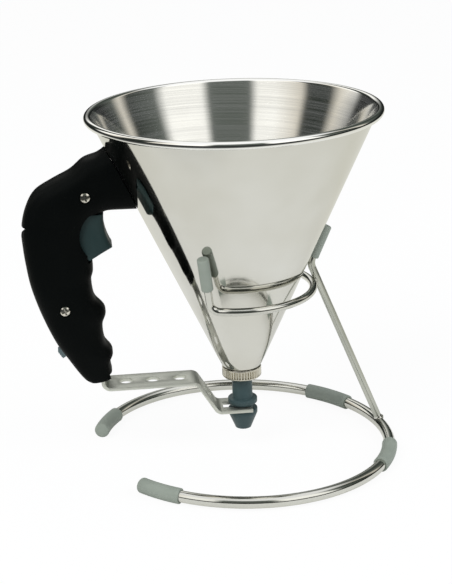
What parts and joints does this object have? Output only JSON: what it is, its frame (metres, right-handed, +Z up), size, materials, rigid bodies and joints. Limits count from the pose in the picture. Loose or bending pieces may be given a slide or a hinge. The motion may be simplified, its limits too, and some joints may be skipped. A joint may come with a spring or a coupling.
{
  "type": "batter dispenser",
  "caption": "Hand-held conical funnel with a trigger handle that lifts a valve nozzle through a bent lever, resting in an open wire stand with silicone caps.",
  "frame": {"origin": "on the table, at the centre of the base ring, under the funnel's foot", "axes": "+Z up; -X towards the handle, so +X from the handle to the stand's post; +Y away from the side with the shell screws. The funnel's axis passes through the origin and leans 1.9 degrees towards the handle."},
  "size_m": [0.194, 0.1608, 0.1863],
  "materials": {
    "cone_steel": "stainless sheet, mirror-polished outside, turned and brushed inside",
    "fitting_steel": "turned",
    "seal_rubber": "soft silicone",
    "nut_nickel": "nickel-plated, knurled",
    "nozzle_plastic": "satin moulded",
    "lever_steel": "satin stainless strip",
    "bracket_steel": "satin",
    "handle_plastic": "satin black moulding",
    "screw_steel": "plated",
    "trigger_plastic": "satin moulded",
    "pin_steel": "ground",
    "spring_steel": "drawn wire",
    "button_plastic": "satin moulded",
    "stand_wire": "polished stainless wire",
    "stand_cap": "soft silicone"
  },
  "bodies": {
    "stand": {"base_ring": "stand_wire", "post_wire": "stand_wire", "holder_ring": "stand_wire", "base_cap_near": "stand_cap", "base_cap_far": "stand_cap", "base_sleeve_near": "stand_cap", "base_sleeve_far": "stand_cap", "prong_cap_near": "stand_cap", "prong_cap_far": "stand_cap", "prong_cap_post": "stand_cap"},
    "funnel": {"funnel_cone": "cone_steel", "outlet_spout": "fitting_steel", "outlet_seal": "seal_rubber", "handle_bracket": "bracket_steel", "handle_shell_near": "handle_plastic", "handle_shell_far": "handle_plastic", "shell_screws": "screw_steel", "trigger_pin": "pin_steel", "return_spring": "spring_steel"},
    "trigger": {"trigger": "trigger_plastic"},
    "lift": {"lift_lever": "lever_steel", "nozzle_valve": "nozzle_plastic"},
    "nut": {"collar_nut": "nut_nickel"},
    "button": {"slide_button": "button_plastic"}
  },
  "joints": [
    {"name": "lift_off", "type": "slide", "parent": "stand", "child": "funnel", "axis": [-0.0332, 0, 0.9995], "range_m": [0, 0.12]},
    {"name": "trigger_pull", "type": "hinge", "parent": "funnel", "child": "trigger", "pos_m": [-0.08588, 0, 0.13072], "axis": [0, 1, 0], "range_deg": [0, 22], "stiffness_Nm_per_rad": 0.12, "springref_deg": -8.59, "deforming": ["return_spring"]},
    {"name": "valve_lift", "type": "slide", "parent": "funnel", "child": "lift", "axis": [-0.0332, 0, 0.9995], "range_m": [0, 0.0066]},
    {"name": "nut_turn", "type": "hinge", "parent": "funnel", "child": "nut", "pos_m": [-0.00139, 0, 0.04198], "axis": [-0.0332, 0, 0.9995], "range_deg": [0, 360]},
    {"name": "button_slide", "type": "slide", "parent": "funnel", "child": "button", "axis": [-0.5577, 0, 0.83], "range_m": [0, 0.005]}
  ],
  "couplings": [
    {"joint": "trigger_pull", "follows": "valve_lift", "rad_per_m": 58.1}
  ]
}
